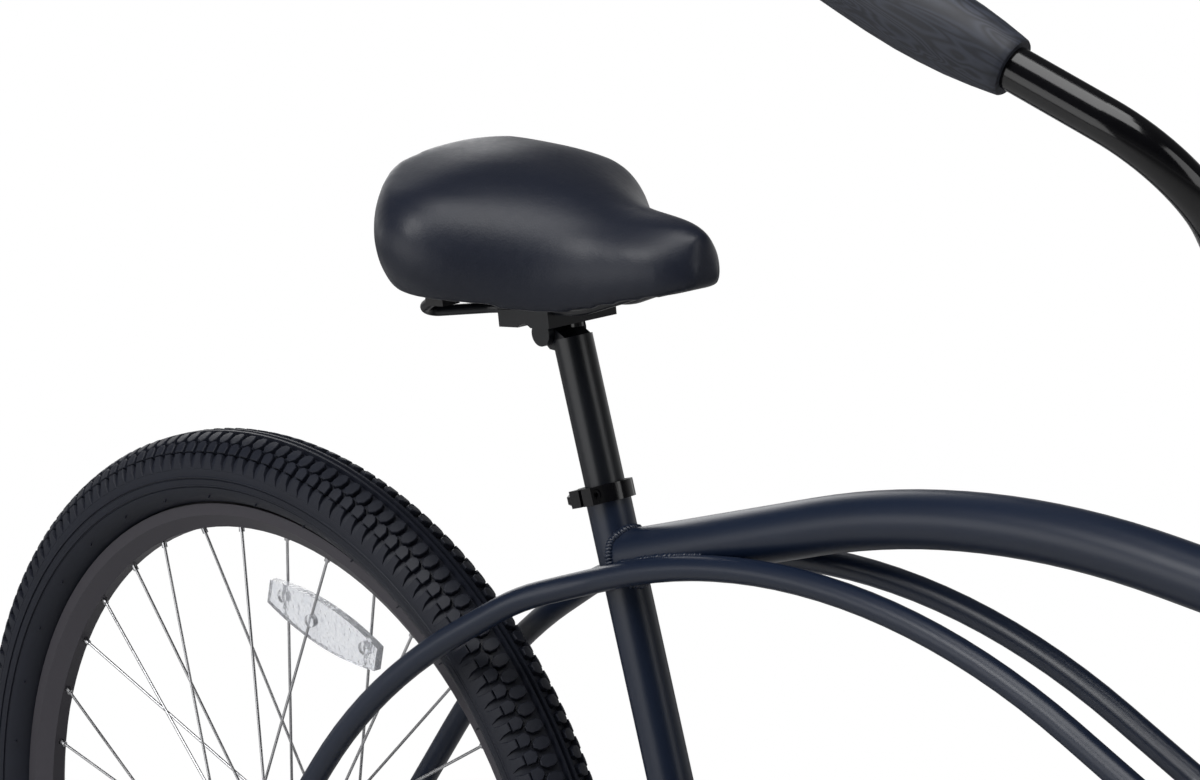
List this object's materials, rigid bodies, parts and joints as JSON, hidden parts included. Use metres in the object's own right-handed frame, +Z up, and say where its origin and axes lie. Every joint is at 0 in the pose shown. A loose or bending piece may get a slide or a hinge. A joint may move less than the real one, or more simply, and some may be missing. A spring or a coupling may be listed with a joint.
{
  "type": "beach cruiser bicycle",
  "caption": "Beach cruiser bicycle with a curved main tube, bent side tubes, wide padded saddle, swept-back handlebar, balloon tyres, coaster brake and guarded chain drive.",
  "frame": {"origin": "on the ground, midway between the two axles, in the bicycle's plane of symmetry", "axes": "+X forward, +Y to the rider's left, +Z up"},
  "size_m": [1.7999, 0.5904, 1.1296],
  "materials": {
    "frame_paint": "matte navy powder coat",
    "black_paint": "gloss black paint",
    "satin_black": "satin black coat",
    "rim_grey": "graphite grey anodised",
    "tyre": "matte black",
    "inner_rubber": "matte",
    "bright_steel": "zinc plated",
    "dark_steel": "oiled",
    "grip_rubber": "soft matte",
    "saddle_vinyl": "fine grain vinyl",
    "black_plastic": "matte",
    "clear_plastic": "clear prism lens",
    "pedal_rubber": "ribbed"
  },
  "bodies": {
    "frame": {"seat_tube": "frame_paint", "head_tube": "frame_paint", "top_tube": "frame_paint", "down_tube": "frame_paint", "twin_tube_left": "frame_paint", "twin_tube_right": "frame_paint", "chainstay_left": "frame_paint", "chainstay_right": "frame_paint", "bottom_bracket_shell": "frame_paint", "seat_clamp": "black_paint", "seat_clamp_bolt": "black_paint", "frame_screws": "bright_steel", "headset_cups": "black_paint", "bottom_bracket_cups": "dark_steel", "drive_chain": "dark_steel", "chain_guard": "frame_paint", "kickstand_bracket": "satin_black", "rear_axle": "bright_steel", "rear_axle_nuts": "bright_steel", "brake_arm": "bright_steel", "brake_shoes": "dark_steel"},
    "rear_wheel": {"rear_tyre": "tyre", "rear_inner_tube": "inner_rubber", "rear_rim": "rim_grey", "rear_spokes": "bright_steel", "rear_reflector": "clear_plastic", "rear_hub_shell": "satin_black", "rear_sprocket": "dark_steel"},
    "crankset": {"crank": "black_paint", "chainring": "black_paint", "crank_cones": "dark_steel", "pedal_spindles": "bright_steel"},
    "left_pedal": {"left_pedal": "pedal_rubber"},
    "right_pedal": {"right_pedal": "pedal_rubber"},
    "fork": {"fork_steerer": "black_paint", "fork_blade_left": "frame_paint", "fork_blade_right": "frame_paint", "headset_races": "bright_steel", "headset_bearings": "dark_steel", "front_axle": "bright_steel", "front_axle_nuts": "bright_steel"},
    "front_wheel": {"front_tyre": "tyre", "front_inner_tube": "inner_rubber", "front_rim": "rim_grey", "front_spokes": "bright_steel", "front_reflector": "clear_plastic", "front_hub_shell": "satin_black"},
    "stem": {"stem": "black_paint", "stem_bolts": "bright_steel"},
    "handlebar": {"handlebar": "black_paint", "grip_left": "grip_rubber", "grip_right": "grip_rubber"},
    "seat_post": {"seat_post": "satin_black"},
    "saddle": {"saddle_clamp": "satin_black", "saddle_clamp_bolts": "black_paint", "saddle_rails": "satin_black", "saddle_base": "black_plastic", "saddle_pad": "saddle_vinyl"},
    "kickstand": {"kickstand_leg": "satin_black", "kickstand_foot": "inner_rubber"}
  },
  "joints": [
    {"name": "rear_wheel_spin", "type": "hinge", "parent": "frame", "child": "rear_wheel", "pos_m": [-0.565, 0, 0.335], "axis": [0, 1, 0], "continuous": true},
    {"name": "crank_spin", "type": "hinge", "parent": "frame", "child": "crankset", "pos_m": [-0.10774, 0, 0.28], "axis": [0, 1, 0], "continuous": true, "deforming": ["drive_chain"]},
    {"name": "left_pedal_spin", "type": "hinge", "parent": "crankset", "child": "left_pedal", "pos_m": [-0.27274, 0.127, 0.28], "axis": [0, 1, 0], "continuous": true},
    {"name": "right_pedal_spin", "type": "hinge", "parent": "crankset", "child": "right_pedal", "pos_m": [0.05726, -0.127, 0.28], "axis": [0, 1, 0], "continuous": true},
    {"name": "steering", "type": "hinge", "parent": "frame", "child": "fork", "pos_m": [0.34543, 0, 0.73163], "axis": [-0.3746, 0, 0.9272], "range_deg": [-70, 70]},
    {"name": "front_wheel_spin", "type": "hinge", "parent": "fork", "child": "front_wheel", "pos_m": [0.565, 0, 0.335], "axis": [0, 1, 0], "continuous": true},
    {"name": "stem_height", "type": "slide", "parent": "fork", "child": "stem", "axis": [-0.3746, 0, 0.9272], "range_m": [-0.012, 0.04]},
    {"name": "handlebar_tilt", "type": "hinge", "parent": "stem", "child": "handlebar", "pos_m": [0.33986, 0, 0.8648], "axis": [0, 1, 0], "range_deg": [-20, 25]},
    {"name": "seat_height", "type": "slide", "parent": "frame", "child": "seat_post", "axis": [-0.3115, 0, 0.9502], "range_m": [-0.055, 0.12]},
    {"name": "saddle_tilt", "type": "hinge", "parent": "seat_post", "child": "saddle", "pos_m": [-0.28764, 0, 0.79327], "axis": [0, 1, 0], "range_deg": [-10, 8]},
    {"name": "kickstand_fold", "type": "hinge", "parent": "frame", "child": "kickstand", "pos_m": [-0.36, 0.07384, 0.29211], "axis": [0.1111, 0.8848, 0.4526], "range_deg": [0, 92]}
  ],
  "couplings": [
    {"joint": "crank_spin", "follows": "rear_wheel_spin", "ratio": 0.40909}
  ]
}
